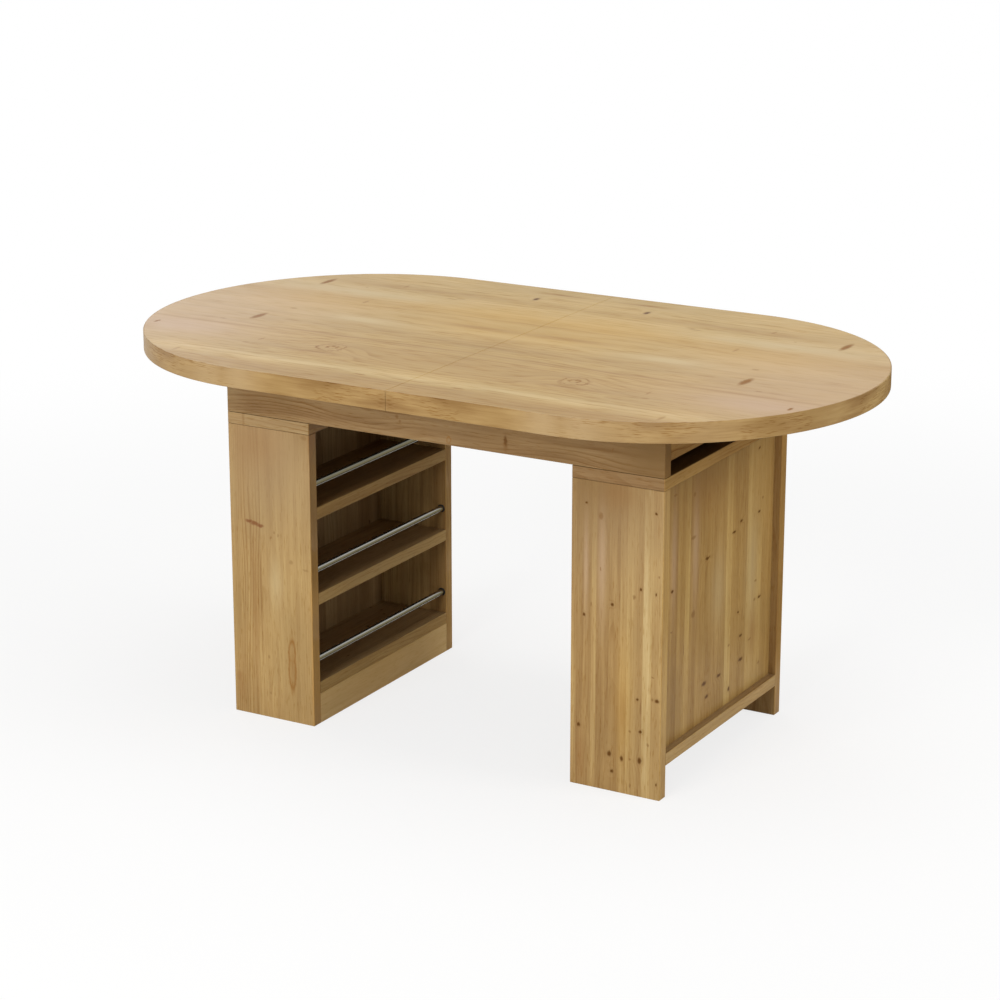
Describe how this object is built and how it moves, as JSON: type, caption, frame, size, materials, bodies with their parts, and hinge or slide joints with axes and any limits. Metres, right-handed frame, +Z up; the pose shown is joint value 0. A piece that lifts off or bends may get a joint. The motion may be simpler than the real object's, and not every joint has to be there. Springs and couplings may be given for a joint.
{
  "type": "kitchen table with storage cabinet",
  "caption": "Oval wooden kitchen table on open shelf cabinets that face each other, with metal guard rails along the shelves.",
  "frame": {"origin": "on the floor under the middle of the top", "axes": "+X along the table's length, +Y to its back, +Z up; the front is the long side at -Y"},
  "size_m": [1.5118, 0.889, 0.762],
  "materials": {
    "tabletop": "clear satin lacquer on knotty pine",
    "edge_band": "clear satin lacquer, grain along the edge",
    "frame_board": "clear satin lacquer on pine",
    "cabinet_board": "clear satin lacquer on glued pine strips",
    "shelf_board": "clear satin lacquer on pine",
    "back_board": "clear satin lacquer on glued pine strips",
    "guard_rail": "polished stainless tube",
    "rail_socket": "moulded black",
    "dowel": "plain beech",
    "zinc_fitting": "die-cast zinc",
    "steel_plate": "zinc plated",
    "screw": "zinc plated"
  },
  "bodies": {
    "root": {"tabletop_left": "tabletop", "tabletop_right": "tabletop", "edge_band_left": "edge_band", "edge_band_right": "edge_band", "apron_front": "frame_board", "apron_back": "frame_board", "end_rail_left": "frame_board", "end_rail_right": "frame_board", "cross_rail_left": "frame_board", "cross_rail_right": "frame_board", "centre_rail": "frame_board", "left_front_panel": "cabinet_board", "left_rear_panel": "cabinet_board", "left_cap": "cabinet_board", "left_plinth": "cabinet_board", "right_front_panel": "cabinet_board", "right_rear_panel": "cabinet_board", "right_cap": "cabinet_board", "right_plinth": "cabinet_board", "left_bottom_shelf": "shelf_board", "left_middle_shelf": "shelf_board", "left_upper_shelf": "shelf_board", "right_bottom_shelf": "shelf_board", "right_middle_shelf": "shelf_board", "right_upper_shelf": "shelf_board", "left_back_board": "back_board", "right_back_board": "back_board", "left_lower_guard_rail": "guard_rail", "left_middle_guard_rail": "guard_rail", "left_upper_guard_rail": "guard_rail", "right_lower_guard_rail": "guard_rail", "right_middle_guard_rail": "guard_rail", "right_upper_guard_rail": "guard_rail", "left_rail_sockets": "rail_socket", "right_rail_sockets": "rail_socket", "seam_dowels": "dowel", "frame_dowels": "dowel", "left_dowels": "dowel", "right_dowels": "dowel", "frame_cam_bolts": "zinc_fitting", "frame_cam_locks": "zinc_fitting", "left_cam_bolts": "zinc_fitting", "left_cam_locks": "zinc_fitting", "right_cam_bolts": "zinc_fitting", "right_cam_locks": "zinc_fitting", "joining_plates": "steel_plate", "top_brackets": "steel_plate", "joining_plate_screws": "screw", "top_bracket_screws": "screw", "left_cap_screws": "screw", "right_cap_screws": "screw"}
  },
  "joints": []
}
